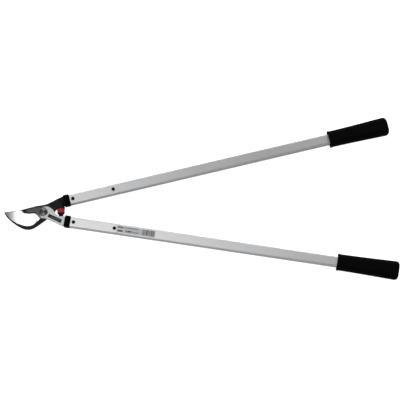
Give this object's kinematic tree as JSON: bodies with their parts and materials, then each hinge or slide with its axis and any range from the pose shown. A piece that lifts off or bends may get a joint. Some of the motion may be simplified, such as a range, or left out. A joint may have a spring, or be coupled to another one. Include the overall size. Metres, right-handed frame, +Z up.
{
  "type": "bypass loppers",
  "caption": "Long-handled bypass loppers with a wide curved cutting blade, a hooked counter blade, a cushioned stop and two tube handles with grips.",
  "frame": {"origin": "middle of the footprint of the closed tool lying flat, on the surface it lies on", "axes": "+X runs along the tool from the blades to the grips, +Y to the handle of the hooked blade, +Z up along the pivot bolt towards its head"},
  "size_m": [0.8996, 0.385, 0.03],
  "materials": {
    "polished_steel": "ground and polished cutting face, satin hub and tang",
    "black_steel": "black oxide, slightly glossy",
    "turned_steel": "turned faces with fine rings",
    "bush_bronze": "machined bronze",
    "anodised_aluminium": "silver anodised extrusion with a fine grain along its length",
    "black_plastic": "moulded, lightly textured",
    "black_fastener": "blackened steel",
    "grip_rubber": "soft matte rubber",
    "red_cushion": "satin red polyurethane",
    "label_black": null,
    "label_film": null
  },
  "bodies": {
    "hook_side": {"hook_blade": "black_steel", "pivot_bolt": "turned_steel", "nut_lock_plate": "black_steel", "disc_spring": "turned_steel", "pivot_nut": "turned_steel", "lock_screw": "turned_steel", "bumper_cushion": "red_cushion", "upper_handle_tube": "anodised_aluminium", "upper_collar": "black_plastic", "upper_front_rivet": "black_fastener", "upper_rear_rivet": "black_fastener", "upper_grip": "grip_rubber"},
    "blade_side": {"cutting_blade": "polished_steel", "pivot_bush": "bush_bronze", "lower_handle_tube": "anodised_aluminium", "lower_collar": "black_plastic", "lower_front_rivet": "black_fastener", "lower_rear_rivet": "black_fastener", "lower_grip": "grip_rubber", "blade_label": "label_black", "handle_label": "label_film"},
    "plunger": {"bumper_plunger": "black_fastener", "plunger_nut": "black_fastener"}
  },
  "joints": [
    {"name": "blade_pivot", "type": "hinge", "parent": "hook_side", "child": "blade_side", "pos_m": [-0.35826, -0.00024, 0.015], "axis": [0, 0, -1], "range_deg": [0, 60]},
    {"name": "bumper_plunge", "type": "slide", "parent": "hook_side", "child": "plunger", "axis": [0, 1, 0], "range_m": [0, 0.0025], "stiffness_N_per_m": 4000, "deforming": ["bumper_cushion"]}
  ]
}
